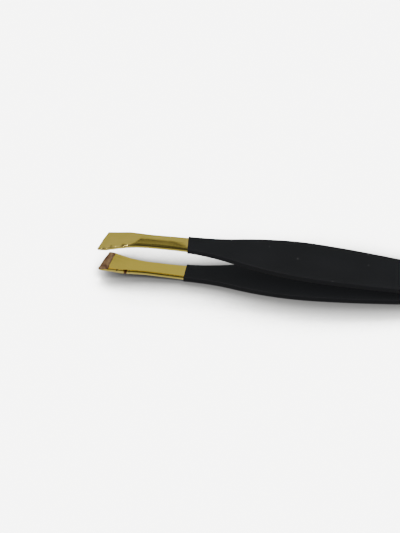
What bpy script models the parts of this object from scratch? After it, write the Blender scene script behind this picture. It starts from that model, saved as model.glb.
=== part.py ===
"""Slant tweezers with a gold plated tip and a soft touch handle, lying on the lower arm.

World frame: X along the length with the tips at -X, Y across the width, Z up, floor at Z = 0.
The tool is drawn in its own frame first: s runs from the tip to the tail, y across, z from the
middle plane between the arms. place() then tips it until the straight lower handle lies flat.
"""
import math

import bpy
from mathutils import Matrix, Vector

MM = 0.001

# Overall
LENGTH = 95.0 * MM
STEEL = 1.2 * MM
TIP_STEEL = 0.82 * MM
TIP_TAPER = 9.0 * MM

# Plan outline of one arm, from its centre line to its near edge and to its far edge
TIP_FLARE = (1.45 * MM, 1.05 * MM)
TIP_FLARE_POWER = 1.5
NECK_AT = 12.4 * MM
NECK_HALF = (2.05 * MM, 1.75 * MM)
SHOULDER_AT = 33.1 * MM
SHOULDER_HALF = (3.42 * MM, 3.30 * MM)
SHOULDER_FLARE = 0.2175
BELLY_AT = 52.2 * MM
BELLY_HALF = (5.45 * MM, 5.60 * MM)
TAIL_HALF = 3.35 * MM
TAIL_FLARE = -0.04
TAIL_CORNER = 2.6 * MM
SLANT = 2.1 * MM
SLANT_FADE = 12.0 * MM

# Side profile: distance of the steel's middle from the middle plane
TIP_RISE = 3.45 * MM
PADDLE_SLOPE = 0.2115
BEND_AT = 7.8 * MM
BEND_ROUND = 1.4 * MM
CREST_RISE = 5.06 * MM
STRAIGHT_FROM = 26.0 * MM
STRAIGHT_TO = 72.0 * MM
STRAIGHT_END_RISE = 2.235 * MM
STRAIGHT_SLOPE = 0.0621
SEAT_AT = 86.0 * MM
TAB_GAP = 0.30 * MM
SEAT_RISE = 0.5 * (STEEL + TAB_GAP)

# Barrel crown polished on the outer face of the neck
CROWN = 0.32 * MM
CROWN_FROM = 7.5 * MM
CROWN_FULL_FROM = 9.7 * MM
CROWN_FULL_TO = 18.0 * MM
CROWN_TO = 24.0 * MM
CROWN_SKEW = 0.4
CROWN_ROOM = CROWN * (1.0 + CROWN_SKEW)

# Where the bending of each arm is gathered into one line
FLEX_AT = 77.0 * MM
FLEX_GAP = 0.10 * MM
CLOSING = math.radians(2.70)

# Steel edges and the ground grip faces
STEEL_EDGE = 0.14 * MM
GRIP_CLEARANCE = 0.02 * MM
GRIP_STONE = 6.0 * MM

# Soft touch coat
COAT = 0.16 * MM
COAT_GAP = 0.03 * MM
COAT_FROM = 21.6 * MM
COAT_JOINT_GAP = 0.16 * MM
COAT_EDGE = 0.24 * MM
CORE_OVERRUN = 2.0 * MM

# Spot welds between the tail tabs
WELD_RADIUS = 1.3 * MM
WELD_TOUCH = 0.01 * MM
WELD_FRONT_AT = 88.0 * MM
WELD_REAR_AT = 92.2 * MM
SEAM_SLOT = (86.4 * MM, 94.0 * MM)
SEAM_SLOT_HALF_WIDTH = 2.3 * MM

# Grid density
ROW_STEP = 1.6 * MM
FINE_STEP = 0.7 * MM
CORNER_STEPS = 5
COLUMNS = 4

TILT = math.atan(STRAIGHT_SLOPE)
CORNER_FROM = LENGTH - TAIL_CORNER


def clear_scene():
    for ob in list(bpy.data.objects):
        bpy.data.objects.remove(ob, do_unlink=True)
    for coll in list(bpy.data.collections):
        bpy.data.collections.remove(coll)


def collection(name):
    coll = bpy.data.collections.new(name)
    bpy.context.scene.collection.children.link(coll)
    return coll


def material(name, colour, metallic, roughness):
    mat = bpy.data.materials.new(name)
    mat.use_nodes = True
    shader = mat.node_tree.nodes["Principled BSDF"]
    shader.inputs["Base Color"].default_value = (*colour, 1.0)
    shader.inputs["Metallic"].default_value = metallic
    shader.inputs["Roughness"].default_value = roughness
    mat.diffuse_color = (*colour, 1.0)
    return mat


def hermite(at, a, va, ma, b, vb, mb):
    """Smooth curve from value va at a with slope ma to value vb at b with slope mb."""
    span = b - a
    t = (at - a) / span
    rise_a = 2.0 * t**3 - 3.0 * t**2 + 1.0
    rise_b = 3.0 * t**2 - 2.0 * t**3
    lean_a = t**3 - 2.0 * t**2 + t
    lean_b = t**3 - t**2
    return rise_a * va + rise_b * vb + span * (lean_a * ma + lean_b * mb)


def half_width(s, outset, across):
    """From the centre line to the near edge (across < 0) or the far edge, of the steel itself or
    of a skin standing outset off it."""
    edge = 0 if across < 0.0 else 1
    neck = NECK_HALF[edge]
    shoulder = SHOULDER_HALF[edge]
    belly = BELLY_HALF[edge]
    if s < NECK_AT:
        half = neck + TIP_FLARE[edge] * (1.0 - max(s, 0.0) / NECK_AT) ** TIP_FLARE_POWER
    elif s < SHOULDER_AT:
        half = hermite(s, NECK_AT, neck, 0.0, SHOULDER_AT, shoulder, SHOULDER_FLARE)
    elif s < BELLY_AT:
        half = hermite(s, SHOULDER_AT, shoulder, SHOULDER_FLARE, BELLY_AT, belly, 0.0)
    else:
        half = hermite(s, BELLY_AT, belly, 0.0, LENGTH, TAIL_HALF, TAIL_FLARE)
    half += outset
    into_corner = s - CORNER_FROM
    if into_corner > 0.0:
        corner = TAIL_CORNER + outset
        into_corner = min(into_corner, corner)
        half -= corner - math.sqrt(corner**2 - into_corner**2)
    return half


def rise(s):
    """Height of the middle of the steel above the middle plane."""
    straight_start = STRAIGHT_END_RISE + STRAIGHT_SLOPE * (STRAIGHT_TO - STRAIGHT_FROM)
    bend_start = BEND_AT - BEND_ROUND
    bend_end = BEND_AT + BEND_ROUND
    if s < bend_start:
        return TIP_RISE + PADDLE_SLOPE * s
    if s < bend_end:
        bend_start_rise = TIP_RISE + PADDLE_SLOPE * bend_start
        return hermite(
            s, bend_start, bend_start_rise, PADDLE_SLOPE, bend_end, CREST_RISE, 0.0
        )
    if s < STRAIGHT_FROM:
        return hermite(
            s, bend_end, CREST_RISE, 0.0, STRAIGHT_FROM, straight_start, -STRAIGHT_SLOPE
        )
    if s < STRAIGHT_TO:
        return STRAIGHT_END_RISE + STRAIGHT_SLOPE * (STRAIGHT_TO - s)
    if s < SEAT_AT:
        return hermite(
            s, STRAIGHT_TO, STRAIGHT_END_RISE, -STRAIGHT_SLOPE, SEAT_AT, SEAT_RISE, 0.0
        )
    return SEAT_RISE


def crown(s, across):
    """How far the barrel polished outer face of the neck stands up at its middle."""
    growing = (s - CROWN_FROM) / (CROWN_FULL_FROM - CROWN_FROM)
    fading = (CROWN_TO - s) / (CROWN_TO - CROWN_FULL_TO)
    share = min(1.0, max(0.0, growing)) * min(1.0, max(0.0, fading))
    return CROWN * share * (1.0 - across**2) * (1.0 + CROWN_SKEW * across)


def place(s, y, z):
    """A point of the tool's own frame, tipped so that the straight lower handle is level."""
    x = s - 0.5 * LENGTH
    level = (0.5 * LENGTH - STRAIGHT_TO) * math.sin(TILT) - STRAIGHT_END_RISE * math.cos(TILT)
    floor = level - (0.5 * STEEL + COAT_GAP + COAT)
    return Vector((
        x * math.cos(TILT) + z * math.sin(TILT),
        y,
        -x * math.sin(TILT) + z * math.cos(TILT) - floor,
    ))


def all_stations():
    """Rows shared by every sheet: close at the tip, plain along the handle, round at the tail."""
    rows = [0.0]
    while rows[-1] + FINE_STEP < SLANT_FADE:
        rows.append(rows[-1] + FINE_STEP)
    for stop in (STRAIGHT_FROM, STRAIGHT_TO, SEAT_AT, CORNER_FROM):
        start = rows[-1]
        count = max(1, round((stop - start) / ROW_STEP))
        rows.extend(start + (stop - start) * (i + 1) / count for i in range(count))
    for i in range(CORNER_STEPS):
        turn = 0.5 * math.pi * (i + 1) / CORNER_STEPS
        rows.append(CORNER_FROM + TAIL_CORNER * math.sin(turn))
    return rows


def stations(start, end):
    """The shared rows between start and end, with rows on both of them."""
    near = 0.25 * FINE_STEP
    inner = [row for row in all_stations() if start + near < row < end - near]
    return [start, *inner, end]


def arm_sheet(name, side, start, end, thickness, outset, edge, coll):
    """One arm or a stretch of it: a shaped sheet given its thickness and broken edges."""
    rows = stations(start, end)
    bpy.ops.mesh.primitive_grid_add(
        x_subdivisions=len(rows) - 1, y_subdivisions=COLUMNS, size=2.0
    )
    ob = bpy.context.active_object
    ob.name = name
    ob.data.name = name
    for old in list(ob.users_collection):
        old.objects.unlink(ob)
    coll.objects.link(ob)
    taper = ob.vertex_groups.new(name="thickness")
    for vert in ob.data.vertices:
        row = rows[round((vert.co.x + 1.0) * 0.5 * (len(rows) - 1))]
        across = vert.co.y
        fade = min(1.0, max(0.0, 1.0 - row / SLANT_FADE))
        s = row + SLANT * 0.5 * (across + 1.0) * fade
        if s > CORNER_FROM:
            s = CORNER_FROM + (s - CORNER_FROM) * (TAIL_CORNER + outset) / TAIL_CORNER
        y = across * half_width(s, outset, across)
        barrel = crown(row, across)
        vert.co = place(s, y, side * (rise(row) + 0.5 * barrel))
        share = TIP_STEEL / STEEL + (1.0 - TIP_STEEL / STEEL) * row / TIP_TAPER
        thick = thickness * min(1.0, share) + barrel
        taper.add([vert.index], thick / (thickness + CROWN_ROOM), "REPLACE")
    solid = ob.modifiers.new("thickness", "SOLIDIFY")
    solid.thickness = thickness + CROWN_ROOM
    solid.offset = 0.0
    solid.use_even_offset = True
    solid.use_quality_normals = True
    solid.vertex_group = taper.name
    bevel = ob.modifiers.new("edges", "BEVEL")
    bevel.width = edge
    bevel.segments = 2
    bevel.limit_method = "ANGLE"
    bevel.angle_limit = math.radians(50.0)
    apply_modifiers(ob)
    return ob


def apply_modifiers(ob):
    bpy.context.view_layer.objects.active = ob
    for other in bpy.context.selected_objects:
        other.select_set(False)
    ob.select_set(True)
    for mod in list(ob.modifiers):
        bpy.ops.object.modifier_apply(modifier=mod.name)


def boolean(ob, cutter, operation):
    mod = ob.modifiers.new(operation.lower(), "BOOLEAN")
    mod.operation = operation
    mod.solver = "EXACT"
    mod.object = cutter
    apply_modifiers(ob)


def box_cutter(name, low, high, coll):
    """A block given by two corners in the tool's own frame."""
    bpy.ops.mesh.primitive_cube_add(size=1.0)
    ob = bpy.context.active_object
    ob.name = name
    for old in list(ob.users_collection):
        old.objects.unlink(ob)
    coll.objects.link(ob)
    for vert in ob.data.vertices:
        corner = [
            low[i] + (high[i] - low[i]) * (vert.co[i] + 0.5) for i in range(3)
        ]
        vert.co = place(*corner)
    return ob


def park(cutter):
    cutter.hide_render = True
    cutter.display_type = "WIRE"


def origin_to(ob, point):
    ob.data.transform(Matrix.Translation(-point))
    ob.matrix_world = Matrix.Translation(point)


def finish(ob, mat, origin):
    ob.data.materials.clear()
    ob.data.materials.append(mat)
    weld = ob.modifiers.new("weld", "WELD")
    weld.merge_threshold = 0.000001
    apply_modifiers(ob)
    ob.data.shade_smooth()
    ob.data.set_sharp_from_angle(angle=math.radians(35.0))
    origin_to(ob, origin)


def steel_arm(name, side, coll, cutters):
    """The springy steel arm from its slanted tip back to the flex line."""
    ob = arm_sheet(name, side, 0.0, FLEX_AT - 0.5 * FLEX_GAP, STEEL, 0.0, STEEL_EDGE, coll)
    # the grip faces are ground so that they meet once each arm has turned by CLOSING
    bpy.ops.mesh.primitive_cube_add(size=2.0)
    stone = bpy.context.active_object
    stone.name = name + "_grindstone"
    for old in list(stone.users_collection):
        old.objects.unlink(stone)
    cutters.objects.link(stone)
    flex_rise = rise(FLEX_AT)
    for vert in stone.data.vertices:
        s = GRIP_STONE * vert.co.x
        y = GRIP_STONE * vert.co.y
        closed = flex_rise + (FLEX_AT - s) * math.tan(CLOSING) - flex_rise / math.cos(CLOSING)
        z = closed + GRIP_CLEARANCE if vert.co.z > 0.0 else -GRIP_STONE
        vert.co = place(s, y, side * z)
    if side < 0.0:
        stone.data.flip_normals()
    boolean(ob, stone, "DIFFERENCE")
    park(stone)
    return ob


def coat_skin(name, side, start, end, coll):
    """Outer surface of the coat as a full solid."""
    thickness = STEEL + 2.0 * (COAT_GAP + COAT)
    return arm_sheet(name, side, start, end, thickness, COAT_GAP + COAT, COAT_EDGE, coll)


def coat_core(name, side, start, end, cutters):
    """The room taken by the steel inside the coat."""
    thickness = STEEL + 2.0 * COAT_GAP
    return arm_sheet(name, side, start, end, thickness, COAT_GAP, STEEL_EDGE, cutters)


def handle_coat(name, side, coll, cutters):
    end = FLEX_AT - 0.5 * COAT_JOINT_GAP
    skin = coat_skin(name, side, COAT_FROM, end, coll)
    core = coat_core(name + "_core", side, COAT_FROM - CORE_OVERRUN, end + CORE_OVERRUN, cutters)
    boolean(skin, core, "DIFFERENCE")
    park(core)
    return skin


def whole_tail_coat(name, coll, cutters):
    """One skin over both tail tabs, split into two sleeves towards the front."""
    start = FLEX_AT + 0.5 * COAT_JOINT_GAP
    skin = coat_skin(name, 1.0, start, LENGTH, coll)
    lower_skin = coat_skin(name + "_lower_half", -1.0, start, LENGTH, cutters)
    boolean(skin, lower_skin, "UNION")
    park(lower_skin)
    for side, side_name in ((1.0, "_upper_core"), (-1.0, "_lower_core")):
        core = coat_core(name + side_name, side, start - CORE_OVERRUN, LENGTH, cutters)
        boolean(skin, core, "DIFFERENCE")
        park(core)
    low = (SEAM_SLOT[0], -SEAM_SLOT_HALF_WIDTH, -0.5 * TAB_GAP)
    high = (SEAM_SLOT[1], SEAM_SLOT_HALF_WIDTH, 0.5 * TAB_GAP)
    slot = box_cutter(name + "_seam", low, high, cutters)
    boolean(skin, slot, "DIFFERENCE")
    park(slot)
    return skin


def spot_weld(name, at, coll):
    """A nugget of fused steel between the two tail tabs."""
    bpy.ops.mesh.primitive_cylinder_add(
        vertices=32, radius=WELD_RADIUS, depth=TAB_GAP - 2.0 * WELD_TOUCH
    )
    ob = bpy.context.active_object
    ob.name = name
    ob.data.name = name
    for old in list(ob.users_collection):
        old.objects.unlink(ob)
    coll.objects.link(ob)
    for vert in ob.data.vertices:
        vert.co = place(at + vert.co.x, vert.co.y, vert.co.z)
    return ob


clear_scene()
tool = collection("slant_tweezers")
cutters = collection("cutters")

gold = material("gold_plated_steel", (0.72, 0.55, 0.24), 1.0, 0.22)
steel = material("bare_steel", (0.60, 0.60, 0.60), 1.0, 0.35)
nugget = material("fused_steel", (0.45, 0.45, 0.46), 1.0, 0.50)
black = material("soft_touch_black", (0.02, 0.02, 0.02), 0.0, 0.60)

upper_flex = place(FLEX_AT, 0.0, rise(FLEX_AT))
lower_flex = place(FLEX_AT, 0.0, -rise(FLEX_AT))
tail_end = place(LENGTH, 0.0, 0.0)

finish(steel_arm("upper_arm", 1.0, tool, cutters), gold, upper_flex)
finish(steel_arm("lower_arm", -1.0, tool, cutters), gold, lower_flex)
finish(handle_coat("upper_handle_coat", 1.0, tool, cutters), black, upper_flex)
finish(handle_coat("lower_handle_coat", -1.0, tool, cutters), black, lower_flex)

tab_from = FLEX_AT + 0.5 * FLEX_GAP
for tab_name, tab_side in (("upper_tail_tab", 1.0), ("lower_tail_tab", -1.0)):
    tab = arm_sheet(tab_name, tab_side, tab_from, LENGTH, STEEL, 0.0, STEEL_EDGE, tool)
    finish(tab, steel, tail_end)
finish(spot_weld("front_spot_weld", WELD_FRONT_AT, tool), nugget, tail_end)
finish(spot_weld("rear_spot_weld", WELD_REAR_AT, tool), nugget, tail_end)
finish(whole_tail_coat("tail_coat", tool, cutters), black, tail_end)
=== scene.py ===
import math

import bpy
import numpy as np
from mathutils import Matrix, Vector, noise


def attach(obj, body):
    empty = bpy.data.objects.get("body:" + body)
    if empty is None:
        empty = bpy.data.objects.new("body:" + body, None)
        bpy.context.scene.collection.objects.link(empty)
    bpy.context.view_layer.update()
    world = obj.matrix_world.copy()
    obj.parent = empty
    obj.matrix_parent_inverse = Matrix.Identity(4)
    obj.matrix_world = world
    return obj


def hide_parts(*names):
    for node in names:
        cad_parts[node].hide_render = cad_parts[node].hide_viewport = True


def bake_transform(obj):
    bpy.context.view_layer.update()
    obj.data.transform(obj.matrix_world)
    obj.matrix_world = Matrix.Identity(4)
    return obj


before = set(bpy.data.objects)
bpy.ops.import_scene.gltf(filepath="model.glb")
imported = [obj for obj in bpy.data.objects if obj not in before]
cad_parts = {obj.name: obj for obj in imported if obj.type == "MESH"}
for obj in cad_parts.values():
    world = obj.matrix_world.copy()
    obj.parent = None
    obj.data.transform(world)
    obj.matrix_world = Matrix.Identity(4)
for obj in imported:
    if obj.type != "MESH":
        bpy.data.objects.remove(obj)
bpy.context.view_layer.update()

# The table
# One sheet of white laminate, laid flat, that the tweezers lie on. It is far larger than the
# tool, so that no edge of it shows. Its colour holds painted shade, darker where the tool keeps
# the light off it, and it glows faintly, a painted glow that is dimmer close under the tool.

laminate_white = (0.90, 0.90, 0.885)
shade_reach = 0.035
# how open a spot of the table is to the light, and the share of white that it keeps
shade_steps = (
    (0.45, 0.012), (0.58, 0.024), (0.62, 0.045), (0.66, 0.072), (0.70, 0.105), (0.74, 0.14),
    (0.78, 0.18), (0.81, 0.235), (0.83, 0.32), (0.85, 0.46), (0.87, 0.70), (0.89, 0.90),
    (0.91, 1.0),
)
# painted glow: how open a spot of the table is, and how bright its emission is there
glow_steps = ((0.36, 0.04), (0.52, 0.17))


def set_ramp(node, stops):
    """Give a colour ramp its stops, each a place and a colour."""
    elements = node.color_ramp.elements
    while len(elements) < len(stops):
        elements.new(0.5)
    for stop, (place, colour) in zip(elements, stops):
        stop.position = place
        stop.color = (*colour, 1.0)


table_white = bpy.data.materials.new("white table laminate")
table_white.use_nodes = True
table_tree = table_white.node_tree
table_shader = table_tree.nodes["Principled BSDF"]
table_shader.inputs["Roughness"].default_value = 0.85
table_shader.inputs["Specular IOR Level"].default_value = 0.1
table_shader.inputs["Emission Strength"].default_value = 1.0
nearness = table_tree.nodes.new("ShaderNodeAmbientOcclusion")
nearness.samples = 32
nearness.inputs["Distance"].default_value = shade_reach
open_side = table_tree.nodes.new("ShaderNodeCombineXYZ")
open_side.inputs["X"].default_value = -0.28
open_side.inputs["Z"].default_value = 1.0
table_tree.links.new(open_side.outputs["Vector"], nearness.inputs["Normal"])
# painted shade in the table's colour and painted glow in its emission, both by openness
for steps, tint, socket in (
    (shade_steps, laminate_white, "Base Color"), (glow_steps, (1.0, 1.0, 0.98), "Emission Color")
):
    shade = table_tree.nodes.new("ShaderNodeValToRGB")
    set_ramp(shade, [(openness, [share * part for part in tint]) for openness, share in steps])
    table_tree.links.new(nearness.outputs["AO"], shade.inputs["Fac"])
    table_tree.links.new(shade.outputs["Color"], table_shader.inputs[socket])

bpy.ops.mesh.primitive_plane_add(size=6.0, location=(0.0, 0.0, 0.0))
table = bpy.context.active_object
table.name = "table_top"
table.data.materials.append(table_white)
table.visible_glossy = False
table.visible_diffuse = False

# The light
# A light tent over the table: broad even light from overhead, and a room whose walls are
# brighter low behind and darker straight above, with a small lamp that catches filed edges.
# Seen directly, the walls are as pale as the table.


def soft_lamp(name, towards, spread_deg, strength):
    lamp_data = bpy.data.lights.new(name, "SUN")
    lamp_data.energy = strength
    lamp_data.angle = math.radians(spread_deg)
    lamp = bpy.data.objects.new(name, lamp_data)
    bpy.context.scene.collection.objects.link(lamp)
    lamp.rotation_euler = Vector(towards).to_track_quat("Z", "Y").to_euler()
    return lamp


tent_light = soft_lamp("tent light", (-0.30, -0.22, 1.0), 76.0, 25.4)
tent_light.visible_glossy = False
catch_light = soft_lamp("catch light", (-0.38, -0.27, 0.88), 12.0, 1.5)
catch_light.visible_diffuse = False

room = bpy.data.worlds.new("dim studio room")
bpy.context.scene.world = room
room.use_nodes = True
room_nodes = room.node_tree.nodes
room_links = room.node_tree.links
backdrop = room_nodes["Background"]
direction = room_nodes.new("ShaderNodeTexCoord")
heading = room_nodes.new("ShaderNodeSeparateXYZ")
height_angle = room_nodes.new("ShaderNodeMath")
height_angle.operation = "ARCTAN2"
turned = room_nodes.new("ShaderNodeMapRange")
turned.inputs["From Min"].default_value = -math.pi
turned.inputs["From Max"].default_value = math.pi
walls = room_nodes.new("ShaderNodeValToRGB")
room_links.new(direction.outputs["Generated"], heading.inputs[0])
room_links.new(heading.outputs["Z"], height_angle.inputs[0])
room_links.new(heading.outputs["Y"], height_angle.inputs[1])
room_links.new(height_angle.outputs[0], turned.inputs["Value"])
room_links.new(turned.outputs["Result"], walls.inputs["Fac"])
seen_directly = room_nodes.new("ShaderNodeLightPath")
pale_wall = room_nodes.new("ShaderNodeMix")
pale_wall.data_type = "RGBA"
pale_wall.inputs[7].default_value = (6.6, 6.6, 6.5, 1.0)
room_links.new(seen_directly.outputs["Is Camera Ray"], pale_wall.inputs[0])
room_links.new(walls.outputs["Color"], pale_wall.inputs[6])
room_links.new(pale_wall.outputs[2], backdrop.inputs["Color"])


def at_angle(degrees):
    return (degrees + 180.0) / 360.0


# brightness round the room: 0 degrees is level behind the tool, 90 straight above it
room_steps = (
    (-180.0, 0.10), (-150.0, 0.40), (-120.0, 0.60), (-20.0, 0.60), (0.0, 0.50), (59.0, 0.50),
    (60.5, 0.04), (64.5, 0.04), (67.0, 0.265), (76.0, 0.265), (84.0, 0.05), (160.0, 0.04),
    (180.0, 0.10),
)
set_ramp(walls, [(at_angle(angle), (bright,) * 3) for angle, bright in room_steps])

# The viewpoint
# A long lens looks down on the front half of the tweezers from the side of the lower edge,
# turned a little so that the tips stand farther off than the tail.

look_at = Vector((-0.02258, -0.00092, 0.00465))
look_down = math.radians(49.82)
look_turn = math.radians(5.68)
look_roll = math.radians(-0.38)
stand_off = 0.4364
towards = Vector((
    math.sin(look_turn) * math.cos(look_down),
    -math.cos(look_turn) * math.cos(look_down),
    math.sin(look_down),
))
camera_data = bpy.data.cameras.new("viewpoint")
camera_data.lens = 121.07
camera_data.sensor_width = 36.0
camera_data.clip_start = 0.01
camera = bpy.data.objects.new("viewpoint", camera_data)
bpy.context.scene.collection.objects.link(camera)
level_view = (-towards).to_track_quat("-Z", "Y").to_matrix().to_4x4()
roll = Matrix.Rotation(look_roll, 4, "Z")
camera.matrix_world = Matrix.Translation(look_at + towards * stand_off) @ level_view @ roll
bpy.context.scene.camera = camera

# The two steel strips
# Each arm is one strip of springy stainless steel, blanked to a slim neck and a broad belly,
# then bent, ground flat at the tip, barrel polished and gold plated. Both come from one die.

MM = 0.001
strip_length = 95.0
steel_thickness = 1.2
tip_thickness = 0.82
tip_taper = 9.0
slant = 2.1
slant_fade = 12.0
neck_at, shoulder_at, belly_at = 12.4, 33.1, 52.2
shoulder_flare = 0.2175
near_widths = (1.45, 2.05, 3.42, 5.45)
far_widths = (1.05, 1.75, 3.30, 5.60)
tail_half, tail_flare, tail_corner = 3.35, -0.04, 2.6
straight_from = 26.0
straight_slope = 0.0621
straight_end = (72.0, 2.235)
crest_rise = 5.06
tip_rise = 3.45
paddle_slope = 0.2115
bend_from, bend_to = 6.4, 9.2
seat_at, seat_rise = 86.0, 0.75
flex_at = 77.0
closing = math.radians(2.70)
lying_tilt = math.atan(straight_slope)
coat_clear = 0.19


def ease_between(at, a, va, ma, b, vb, mb):
    """Smooth curve from value va at a, leaving with slope ma, to vb at b with slope mb."""
    span = b - a
    t = (at - a) / span
    keep = 2 * t**3 - 3 * t**2 + 1
    return keep * va + (1 - keep) * vb + span * (
        (t**3 - 2 * t**2 + t) * ma + (t**3 - t**2) * mb
    )


def plan_half_width(s, grow=0.0, across=1.0):
    """From the centre line to the near edge (across below 0) or the far edge."""
    tip_flare, neck, shoulder, belly = near_widths if across < 0.0 else far_widths
    if s < neck_at:
        half = neck + tip_flare * (1.0 - max(s, 0.0) / neck_at) ** 1.5
    elif s < shoulder_at:
        half = ease_between(s, neck_at, neck, 0.0, shoulder_at, shoulder, shoulder_flare)
    elif s < belly_at:
        half = ease_between(s, shoulder_at, shoulder, shoulder_flare, belly_at, belly, 0.0)
    else:
        half = ease_between(s, belly_at, belly, 0.0, strip_length, tail_half, tail_flare)
    half += grow
    corner = tail_corner + grow
    into_corner = s - (strip_length - tail_corner)
    if into_corner > 0.0:
        into_corner = min(into_corner, corner)
        half -= corner - math.sqrt(corner**2 - into_corner**2)
    return half


def tail_turn(grow=0.0):
    """Where to cut across the rounded tail, closer together towards its end."""
    corner = tail_corner + grow
    start = strip_length - tail_corner
    return [start + corner * math.sin(math.radians(a)) for a in (8, 22, 38, 54, 68, 80, 90)]


def strip_rise(s):
    """Height of the middle of the steel above the plane halfway between the arms."""
    straight_start = straight_end[1] + straight_slope * (straight_end[0] - straight_from)
    if s < bend_from:
        return tip_rise + paddle_slope * s
    if s < bend_to:
        start = tip_rise + paddle_slope * bend_from
        return ease_between(s, bend_from, start, paddle_slope, bend_to, crest_rise, 0.0)
    if s < straight_from:
        return ease_between(
            s, bend_to, crest_rise, 0.0, straight_from, straight_start, -straight_slope
        )
    if s < straight_end[0]:
        return straight_end[1] + straight_slope * (straight_end[0] - s)
    if s < seat_at:
        return ease_between(
            s, straight_end[0], straight_end[1], -straight_slope, seat_at, seat_rise, 0.0
        )
    return seat_rise


def lay_down(s, y, z):
    """From the tool's own frame, in millimetres from the tip, to the table."""
    x = s - 0.5 * strip_length
    sine, cosine = math.sin(lying_tilt), math.cos(lying_tilt)
    level = (0.5 * strip_length - straight_end[0]) * sine - straight_end[1] * cosine
    floor = level - (0.5 * steel_thickness + coat_clear)
    return Vector((x * cosine + z * sine, y, -x * sine + z * cosine - floor)) * MM


def closed_plane(s):
    """Where the plane of the closed tips stands while the arm is open."""
    flex_rise = strip_rise(flex_at)
    return flex_rise + (flex_at - s) * math.tan(closing) - flex_rise / math.cos(closing)


def section(half, outer, inner, top_edge, low_edge, cells):
    """One cross cut of a strip: points (y, height, edge mark) round the outer face, near edge,
    inner face and far edge. The edge mark is 1 on the rounded edges and 0.5 on the flat sides,
    where a finish is drawn lighter: partly for wear from polishing and handling, partly as
    painted highlight."""
    loop = []

    def face(start, stop, height):
        for i in range(cells + 1):
            loop.append((start + (stop - start) * i / cells, height, float(i in (0, cells))))

    def corner(y_sign, height, radius, begin_deg, end_deg):
        for i in range(1, 5):
            turn = math.radians(begin_deg + (end_deg - begin_deg) * i / 5)
            loop.append((
                y_sign * (half - radius + radius * math.cos(turn)),
                height + radius * math.sin(turn),
                1.0,
            ))

    def side(y_sign, start, stop):
        for share in (0.0, 0.5, 1.0):
            loop.append((y_sign * half, start + (stop - start) * share, 0.5))

    face(half - top_edge, -half + top_edge, outer)
    corner(-1, outer - top_edge, top_edge, 90, 0)
    side(-1, outer - top_edge, inner + low_edge)
    corner(-1, inner + low_edge, low_edge, 0, -90)
    face(-half + low_edge, half - low_edge, inner)
    corner(1, inner + low_edge, low_edge, -90, 0)
    side(1, inner + low_edge, outer - top_edge)
    corner(1, outer - top_edge, top_edge, 0, 90)
    return loop


crown_height = 0.32
crown_skew = 0.4
crown_begin, crown_end = 7.5, 24.0


def held(value):
    """The value kept between 0 and 1."""
    return max(0.0, min(1.0, value))


def crown(row, across):
    """How far the barrel polished outer face of the neck stands up, most a little beyond the
    middle; none on the tip or the handle."""
    share = held((row - crown_begin) / 2.2) * held((crown_end - row) / 6.0)
    return crown_height * share * (1.0 - across**2) * (1.0 + crown_skew * across)


def mark(mesh, layer, values):
    """Keep one number for each point, for the finish to read."""
    marks = mesh.attributes.new(layer, "FLOAT", "POINT")
    marks.data.foreach_set("value", np.array(values, np.float32))


def skin_mesh(name, rings):
    """A closed skin over a row of rings with the same number of points."""
    count = len(rings[0])
    faces = [tuple(reversed(range(count)))]
    for r in range(len(rings) - 1):
        near, far = r * count, (r + 1) * count
        for i in range(count):
            j = (i + 1) % count
            faces.append((near + i, near + j, far + j, far + i))
    last = (len(rings) - 1) * count
    faces.append(tuple(last + i for i in range(count)))
    mesh = bpy.data.meshes.new(name)
    mesh.from_pydata([point for ring in rings for point in ring], [], faces)
    return mesh


def hand_finish(s, across, side, seed):
    """Small unevenness left by hand filing on the tip, none on the neck."""
    filed_to, fade, depth = 12.0, 5.0, 0.035
    if s > filed_to:
        return 0.0
    amount = depth * min(1.0, (filed_to - s) / fade)
    return amount * noise.noise(Vector((s * 1.7, side * 7.0 + seed, across * 0.2)))


def bell(value, middle, spread_by):
    """1 at the middle, falling away smoothly on both sides."""
    return math.exp(-(((value - middle) / spread_by) ** 2))


def filed_flat(s):
    """Small bright flats where a file took the burr off the near edge of the upper tip, each
    given by its place, length and depth."""
    flats = ((6.3, 0.60, 0.27), (3.4, 0.28, 0.22), (1.6, 0.20, 0.16), (0.8, 0.18, 0.14))
    return sum(depth * bell(s, place, length) for place, length, depth in flats)


def stain(side, s, across, outward):
    """Brown spots where the plating has worn through at the near edge of the tips."""
    if across > -0.8:
        return 0.0
    if side > 0:
        return bell(s, 1.5, 0.22) * (outward < 0.5)
    nick = bell(s, 6.9, 0.42)
    spots = max(0.0, noise.noise(Vector((s * 2.6, outward * 1.5, 3.3)))) * 1.6
    return max(nick, spots * (1.5 < s < 8.5) * (outward < 0.45))


def dressed_edge(side, s, across):
    """How much the far edge of the lower strip is narrower where its handle starts to widen."""
    if side > 0 or across < 0.0:
        return 0.0
    return 0.27 * bell(s, 34.0, 6.0)


def masked_line(side, across):
    """Where the coat starts, at across = -1 near, +1 far."""
    ragged = 0.05 * noise.noise(Vector((across * 2.1, side * 4.0, 1.7)))
    if side > 0:
        return 21.55 - 0.08 * across + ragged
    return 21.42 + 0.22 * across + ragged


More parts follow.
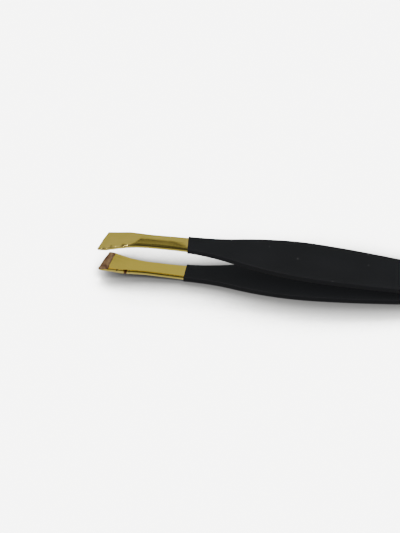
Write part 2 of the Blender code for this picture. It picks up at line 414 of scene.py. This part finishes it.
def steel_strip(name, side):
    """One whole strip, cut across closer together where its shape is finer."""
    rows = [0.0, 0.04, 0.10]
    rows += list(np.arange(0.2, 3.4, 0.13))
    rows += list(np.arange(3.5, 13.0, 0.25))
    rows += list(np.arange(13.0, 20.0, 0.5))
    rows += list(np.arange(20.0, 22.0, 0.12))
    rows += list(np.arange(22.0, 24.0, 0.5))
    rows += list(np.arange(24.5, 92.0, 1.5))
    rows += tail_turn()
    rings, ground = [], []
    marks = {"edge_mark": [], "grip_rim": [], "stain": [], "inside": []}
    tip_back = 0.0 if side > 0 else 0.27
    tip_end = 0.10
    paddle_top = tip_rise + 0.5 * tip_thickness
    for row in rows:
        before, after = max(0.0, row - 0.1), row + 0.1
        slope = (strip_rise(after) - strip_rise(before)) / (after - before)
        lean = math.hypot(1.0, slope)
        thick = tip_thickness + (steel_thickness - tip_thickness) * min(1.0, row / tip_taper)
        soft_end = max(0.0, tip_end - row)
        bend_fill = 0.12 * bell(row, 8.0, 2.6)
        top_edge = 0.16 + 0.32 * held((row - 6.0) / 2.5)
        low_edge = 0.18 + 0.22 * held((row - 5.0) / 4.0)
        fade = held(1.0 - row / slant_fade)
        half_here = plan_half_width(row + slant * 0.5 * fade)
        ring = []
        for y, height, edge_mark in section(
            half_here, 0.5 * thick - soft_end, -0.5 * thick + soft_end - bend_fill,
            top_edge, low_edge, 14,
        ):
            across = y / half_here
            s = row + slant * 0.5 * (across + 1.0) * fade + tip_back * max(0.0, 1.0 - row / 6.0)
            half = plan_half_width(s, 0.0, across) - soft_end - dressed_edge(side, s, across)
            if across < -0.7:
                half -= 0.30 * max(0.0, 1.0 - row / 0.9) ** 2
            on_top = height > 0.5 * thick - soft_end - top_edge - 1e-6
            outward = max(0.0, height / thick + 0.5)
            height += crown(row, across) * outward
            height += hand_finish(s, across, side, 3.0 if on_top else 9.0) * (edge_mark > 0.9)
            if side > 0 and across < -0.9:
                height -= filed_flat(s) * outward
            z = strip_rise(row) + height / lean
            along = s - height * slope / lean
            if on_top and along < 12.0:
                z = min(z, paddle_top + paddle_slope * along + 0.01)
            cut = closed_plane(along) + 0.02
            is_ground = z < cut
            depth = abs(z - cut)
            z = max(z, cut)
            wave = 1.0 + hand_finish(s, 0.0, side, 5.0) * 0.8 * (abs(across) > 0.9)
            ring.append(lay_down(along, y * half / half_here * wave, side * z))
            # painted highlight: a bright band of gold just before the masked line
            paint_line_highlight = bell(s, masked_line(side, across) - 0.3, 0.16)
            from_rim = min(depth / 0.05, row / 0.12, (1.0 - abs(across)) / 0.05)
            ground.append(is_ground)
            marks["edge_mark"].append(max(edge_mark * (1.0 if row < 8.0 else 0.3), 0.9 * paint_line_highlight))
            marks["grip_rim"].append(math.exp(-from_rim) * is_ground)
            marks["stain"].append(stain(side, s, across, outward))
            # marks the inner faces, which the gold plating paints brighter
            marks["inside"].append(float(outward < 0.2))
        rings.append(ring)
    mesh = skin_mesh(name, rings)
    if side < 0:
        mesh.flip_normals()
    for layer, values in marks.items():
        mark(mesh, layer, values)
    mesh.materials.append(gold_plating)
    mesh.materials.append(ground_face)
    for face in mesh.polygons:
        face.material_index = int(all(ground[v] for v in face.vertices))
    strip = bpy.data.objects.new(name, mesh)
    bpy.context.scene.collection.objects.link(strip)
    mesh.shade_smooth()
    mesh.set_sharp_from_angle(angle=math.radians(32.0))
    return strip


def new_group(name, sockets, outputs):
    """An empty effect with named inputs (name, kind, value) and outputs (name, kind)."""
    group = bpy.data.node_groups.new(name, "ShaderNodeTree")
    for label, kind, value in sockets:
        socket = group.interface.new_socket(label, in_out="INPUT", socket_type=kind)
        socket.default_value = value
    for label, kind in outputs:
        group.interface.new_socket(label, in_out="OUTPUT", socket_type=kind)
    return group, group.nodes.new("NodeGroupInput"), group.nodes.new("NodeGroupOutput")


def spread(tree, value, low, high, to_low, to_high):
    """The value stretched from low..high to to_low..to_high and held there."""
    node = tree.nodes.new("ShaderNodeMapRange")
    for socket, end in zip(node.inputs[1:5], (low, high, to_low, to_high)):
        if isinstance(end, float):
            socket.default_value = end
        else:
            tree.links.new(end, socket)
    tree.links.new(value, node.inputs["Value"])
    return node.outputs["Result"]


def mixed(tree, mask, first, second):
    """first where the mask is 0, second where it is 1."""
    node = tree.nodes.new("ShaderNodeMix")
    node.data_type = "RGBA"
    for socket, colour in ((node.inputs[6], first), (node.inputs[7], second)):
        if isinstance(colour, tuple):
            socket.default_value = (*colour, 1.0)
        else:
            tree.links.new(colour, socket)
    tree.links.new(mask, node.inputs[0])
    return node.outputs[2]


# marks of one size, drawn out along the arm by Stretch, over the colour of the ground
marking, given, made = new_group(
    "marking",
    (
        ("Ground", "NodeSocketColor", (0.5, 0.5, 0.5, 1.0)),
        ("Marks", "NodeSocketColor", (0.5, 0.5, 0.5, 1.0)),
        ("Scale", "NodeSocketFloat", 500.0),
        ("Stretch", "NodeSocketVector", (1.0, 1.0, 1.0)),
        ("Detail", "NodeSocketFloat", 3.0),
        ("Fineness", "NodeSocketFloat", 0.5),
        ("Begin", "NodeSocketFloat", 0.35),
        ("Full", "NodeSocketFloat", 0.65),
        ("Amount", "NodeSocketFloat", 1.0),
    ),
    (("Colour", "NodeSocketColor"), ("Grain", "NodeSocketFloat")),
)
place = marking.nodes.new("ShaderNodeTexCoord")
stretched = marking.nodes.new("ShaderNodeMapping")
grain = marking.nodes.new("ShaderNodeTexNoise")
marking.links.new(place.outputs["Object"], stretched.inputs["Vector"])
marking.links.new(given.outputs["Stretch"], stretched.inputs["Scale"])
marking.links.new(stretched.outputs["Vector"], grain.inputs["Vector"])
marking.links.new(given.outputs["Scale"], grain.inputs["Scale"])
marking.links.new(given.outputs["Detail"], grain.inputs["Detail"])
marking.links.new(given.outputs["Fineness"], grain.inputs["Roughness"])
cover = spread(
    marking, grain.outputs["Fac"], given.outputs["Begin"], given.outputs["Full"], 0.0,
    given.outputs["Amount"],
)
painted = mixed(marking, cover, given.outputs["Ground"], given.outputs["Marks"])
marking.links.new(painted, made.inputs["Colour"])
marking.links.new(grain.outputs["Fac"], made.inputs["Grain"])

# edges and a band before the masked line, drawn in a lighter colour: partly wear from handling,
# partly painted highlight
lighter_edges, given, made = new_group(
    "lighter_edges",
    (
        ("Colour", "NodeSocketColor", (0.5, 0.5, 0.5, 1.0)),
        ("Rubbed", "NodeSocketColor", (0.5, 0.5, 0.5, 1.0)),
        ("Amount", "NodeSocketFloat", 0.5),
    ),
    (("Colour", "NodeSocketColor"),),
)
lighter_edge_mask = lighter_edges.nodes.new("ShaderNodeAttribute")
lighter_edge_mask.attribute_name = "edge_mark"
cover = spread(lighter_edges, lighter_edge_mask.outputs["Fac"], 0.0, 1.0, 0.0, given.outputs["Amount"])
painted = mixed(lighter_edges, cover, given.outputs["Colour"], given.outputs["Rubbed"])
lighter_edges.links.new(painted, made.inputs["Colour"])


def add_effect(tree, effect, label, **values):
    """Place an effect in a finish with its own values; a socket among them is joined on."""
    node = tree.nodes.new("ShaderNodeGroup")
    node.node_tree = effect
    node.label = label
    for name, value in values.items():
        socket = node.inputs[name]
        if isinstance(value, bpy.types.NodeSocket):
            tree.links.new(value, socket)
        elif socket.type == "RGBA":
            socket.default_value = (*value, 1.0)
        else:
            socket.default_value = value
    return node.outputs


def mask_from_points(tree, layer, low, high, amount):
    """A mask from one of the numbers kept on the points."""
    node = tree.nodes.new("ShaderNodeAttribute")
    node.attribute_name = layer
    return spread(tree, node.outputs["Fac"], low, high, 0.0, amount)


def bump(tree, height, distance, strength, under=None):
    """Relief from a height, laid over the relief that is under it."""
    node = tree.nodes.new("ShaderNodeBump")
    node.inputs["Distance"].default_value = distance
    node.inputs["Strength"].default_value = strength
    tree.links.new(height, node.inputs["Height"])
    if under is not None:
        tree.links.new(under, node.inputs["Normal"])
    return node.outputs["Normal"]


# gold plating: satin from the polishing belt, brighter on the edges and sides, partly for
# wear and partly as painted highlight, and a brighter yellow on the inner faces as painted light
gold_plating = bpy.data.materials.new("gold plating")
gold_plating.use_nodes = True
tree = gold_plating.node_tree
shader = tree.nodes["Principled BSDF"]
shader.inputs["Metallic"].default_value = 1.0
cloud = add_effect(
    tree, marking, "cloudy plating", Ground=(0.86, 0.685, 0.135), Marks=(0.93, 0.73, 0.16),
    Scale=260.0, Detail=3.0,
)
belt_lines = add_effect(
    tree, marking, "belt lines", Ground=cloud["Colour"], Marks=(0.80, 0.66, 0.13),
    Scale=900.0, Stretch=(0.08, 3.0, 1.0), Detail=5.0, Fineness=0.6, Begin=0.3, Full=0.7,
    Amount=0.35,
)
file_lines = add_effect(
    tree, marking, "file lines", Scale=700.0, Stretch=(1.6, 0.5, 1.0), Detail=4.0, Fineness=0.6
)
belt_waves = add_effect(
    tree, marking, "belt waves", Scale=1500.0, Stretch=(0.3, 1.0, 1.0), Detail=1.0
)
# painted light: the inner faces get a brighter, yellower gold so their reflection reads as bright
# as the outer faces'
colour = mixed(
    tree, mask_from_points(tree, "inside", 0.0, 1.0, 0.9), belt_lines["Colour"], (0.985, 0.775, 0.122)
)
colour = add_effect(
    tree, lighter_edges, "lighter edges", Colour=colour, Rubbed=(1.0, 0.79, 0.27), Amount=0.45
)["Colour"]
colour = mixed(tree, mask_from_points(tree, "stain", 0.25, 0.75, 1.0), colour, (0.15, 0.05, 0.02))
tree.links.new(colour, shader.inputs["Base Color"])
roughness = spread(tree, belt_lines["Grain"], 0.25, 0.75, 0.13, 0.24)
tree.links.new(roughness, shader.inputs["Roughness"])
fine = bump(tree, belt_lines["Grain"], 0.00002, 0.35)
fine = bump(tree, file_lines["Grain"], 0.00002, 0.20, fine)
fine = bump(tree, belt_waves["Grain"], 0.00002, 0.6, fine)
tree.links.new(fine, shader.inputs["Normal"])

# ground grip faces: matt steel where the stone has cut through the gold; their dark red brown
# is partly the steel and partly painted reflection of the other arm's shaded gold underside,
# and they are drawn darker towards their rim
ground_face = bpy.data.materials.new("ground grip face")
ground_face.use_nodes = True
tree = ground_face.node_tree
shader = tree.nodes["Principled BSDF"]
shader.inputs["Metallic"].default_value = 0.85
stone_marks = add_effect(
    tree, marking, "stone marks", Ground=(0.095, 0.047, 0.024), Marks=(0.235, 0.157, 0.077),
    Scale=1500.0, Stretch=(1.0, 0.4, 1.0), Detail=5.0, Fineness=0.65,
)
blotches = add_effect(
    tree, marking, "worn blotches", Ground=stone_marks["Colour"], Marks=(0.065, 0.034, 0.022),
    Scale=1100.0, Detail=2.0, Begin=0.52, Full=0.62, Amount=0.7,
)
rim = mask_from_points(tree, "grip_rim", 0.2, 0.75, 0.95)
colour = mixed(tree, rim, blotches["Colour"], (0.035, 0.014, 0.008))
tree.links.new(colour, shader.inputs["Base Color"])
roughness = spread(tree, stone_marks["Grain"], 0.3, 0.7, 0.5, 0.7)
tree.links.new(roughness, shader.inputs["Roughness"])
tree.links.new(bump(tree, stone_marks["Grain"], 0.00003, 0.6), shader.inputs["Normal"])

# each arm flexes between the seat on its weld and the start of its straight
for side, level in ((1, "upper"), (-1, "lower")):
    strip = steel_strip(level + "_steel_strip", side)
    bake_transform(strip)
    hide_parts(level + "_arm", level + "_tail_tab")

# The soft touch coat
# The handles are dipped or sprayed up to a masked line and cured: a black, rubbery, matt skin
# on each strip, a little thicker at the masked edge, closed round the welded tail.

coat_thickness = 0.15
coat_gap = 0.02
wall_gap = 0.012


coat_starts = 21.5


def coat_ring(row, side, grow, edge):
    """One cross cut of a coat: its points, and how much each is rubbed."""
    slope = (strip_rise(row + 0.05) - strip_rise(row - 0.05)) / 0.1
    lean = math.hypot(1.0, slope)
    half_here = plan_half_width(row, grow)
    reach = 0.5 * steel_thickness + grow
    into_front = max(0.0, 1.0 - (row - coat_starts) / 4.0)
    ring, rubs = [], []
    for y, height, edge_mark in section(half_here, reach, -reach, edge, edge, 16):
        across = y / half_here
        s = row + (masked_line(side, across) - coat_starts) * into_front
        half = plan_half_width(s, grow, across) - dressed_edge(side, s, across)
        outward = held(0.5 * height / reach + 0.5)
        height += crown(row, across) * outward
        z = strip_rise(row) + height / lean
        ring.append(lay_down(s - height * slope / lean, y * half / half_here, side * z))
        rubs.append(edge_mark)
    return ring, rubs


def coat_sleeve(name, side):
    """The outer skin from the lip to the tail, then the inside wall back to the lip."""
    rows = [coat_starts + step for step in (0.0, 0.04, 0.12, 0.25, 0.45, 0.7, 1.1)]
    rows += list(np.arange(23.2, 92.0, 0.8)) + tail_turn(coat_gap + coat_thickness)
    rings, rub_values = [], []
    for row in rows:
        bead = 0.05 * bell(row, coat_starts + 0.25, 0.22)
        lip = min(1.0, 0.35 + (row - coat_starts) / 0.12 * 0.65)
        ring, rubs = coat_ring(row, side, coat_gap + coat_thickness * lip + bead, 0.30)
        rings.append(ring)
        rub_values += rubs
    for row in reversed(rows):
        if row < strip_length - 0.4:
            ring, _ = coat_ring(row, side, wall_gap, 0.22)
            rings.append(ring)
            rub_values += [0.0] * len(ring)
    count = len(rings[0])
    tail_row = len(rows) - 1
    faces = []
    for r in range(len(rings)):
        if r == tail_row:
            continue
        here, there = r * count, (r + 1) % len(rings) * count
        for i in range(count):
            j = (i + 1) % count
            faces.append((here + i, here + j, there + j, there + i))
    faces.append(tuple(tail_row * count + i for i in range(count)))
    faces.append(tuple((tail_row + 1) * count + i for i in reversed(range(count))))
    mesh = bpy.data.meshes.new(name)
    mesh.from_pydata([point for ring in rings for point in ring], [], faces)
    mark(mesh, "edge_mark", rub_values)
    if side < 0:
        mesh.flip_normals()
    sleeve = bpy.data.objects.new(name, mesh)
    bpy.context.scene.collection.objects.link(sleeve)
    mesh.shade_smooth()
    mesh.set_sharp_from_angle(angle=math.radians(38.0))
    return sleeve


soft_black = bpy.data.materials.new("soft touch black")
soft_black.use_nodes = True
tree = soft_black.node_tree
shader = tree.nodes["Principled BSDF"]
shader.inputs["Specular IOR Level"].default_value = 0.05
# painted glow: a faint emission lifts the black, even in the shade between the arms
shader.inputs["Emission Color"].default_value = (0.0078, 0.0080, 0.0087, 1.0)
shader.inputs["Emission Strength"].default_value = 1.0
handling = add_effect(
    tree, marking, "handling marks", Ground=(0.0011, 0.00115, 0.0012),
    Marks=(0.0014, 0.00145, 0.0016), Scale=160.0, Stretch=(0.5, 1.0, 1.0), Detail=4.0, Full=0.7,
)
pebble = add_effect(tree, marking, "fine pebble", Scale=5200.0, Detail=2.0)
rubbed = add_effect(
    tree, lighter_edges, "lighter edges", Colour=handling["Colour"], Rubbed=(0.004, 0.004, 0.0045),
    Amount=0.06,
)
specks = add_effect(
    tree, marking, "dust specks", Ground=rubbed["Colour"], Marks=(0.03, 0.03, 0.03),
    Scale=1400.0, Detail=0.0, Begin=0.86, Full=0.88, Amount=0.5,
)
tree.links.new(specks["Colour"], shader.inputs["Base Color"])
roughness = spread(tree, handling["Grain"], 0.3, 0.7, 0.50, 0.62)
tree.links.new(roughness, shader.inputs["Roughness"])
tree.links.new(bump(tree, pebble["Grain"], 0.00001, 0.35), shader.inputs["Normal"])

for side, level in ((1, "upper"), (-1, "lower")):
    sleeve = coat_sleeve(level + "_soft_coat", side)
    sleeve.data.materials.append(soft_black)
    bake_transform(sleeve)
    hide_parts(level + "_handle_coat")

# The seam of the tail
# Where the two coated strips lie against each other the coat bridges them, in a shallow
# bead that runs round the welded tail.


def tail_seam():
    """The bead's outline, drawn at both its faces and joined round the rim."""
    proud = 0.12
    stops = list(np.arange(86.6, 92.0, 0.6)) + tail_turn(proud)
    outline = [(s, -plan_half_width(s, proud)) for s in stops]
    outline += [(s, plan_half_width(s, proud)) for s in reversed(stops[:-1])]
    points = [lay_down(s, y, height) for height in (-0.13, 0.13) for s, y in outline]
    n = len(outline)
    faces = [tuple(reversed(range(n))), tuple(range(n, 2 * n))]
    faces += [(i, (i + 1) % n, (i + 1) % n + n, i + n) for i in range(n)]
    mesh = bpy.data.meshes.new("tail_seam")
    mesh.from_pydata(points, [], faces)
    mark(mesh, "edge_mark", [0.0] * len(points))
    bead = bpy.data.objects.new("tail_seam", mesh)
    bpy.context.scene.collection.objects.link(bead)
    return bead


seam = tail_seam()
seam.data.materials.append(soft_black)
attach(seam, "tail")
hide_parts("tail_coat")

# The spot welds
# Two nuggets where the strips were fused together through the tail. They are inside the seam
# and never seen; the steel is blued round them by the heat.

heat_blued = bpy.data.materials.new("heat blued steel")
heat_blued.use_nodes = True
tree = heat_blued.node_tree
shader = tree.nodes["Principled BSDF"]
shader.inputs["Metallic"].default_value = 1.0
bluing = add_effect(
    tree, marking, "heat colours", Ground=(0.20, 0.22, 0.32), Marks=(0.42, 0.36, 0.28),
    Scale=900.0, Detail=3.0,
)
tree.links.new(bluing["Colour"], shader.inputs["Base Color"])
roughness = spread(tree, bluing["Grain"], 0.3, 0.7, 0.4, 0.6)
tree.links.new(roughness, shader.inputs["Roughness"])
tree.links.new(bump(tree, bluing["Grain"], 0.00002, 0.4), shader.inputs["Normal"])
for weld in ("front_spot_weld", "rear_spot_weld"):
    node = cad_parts[weld]
    node.data.materials.clear()
    node.data.materials.append(heat_blued)
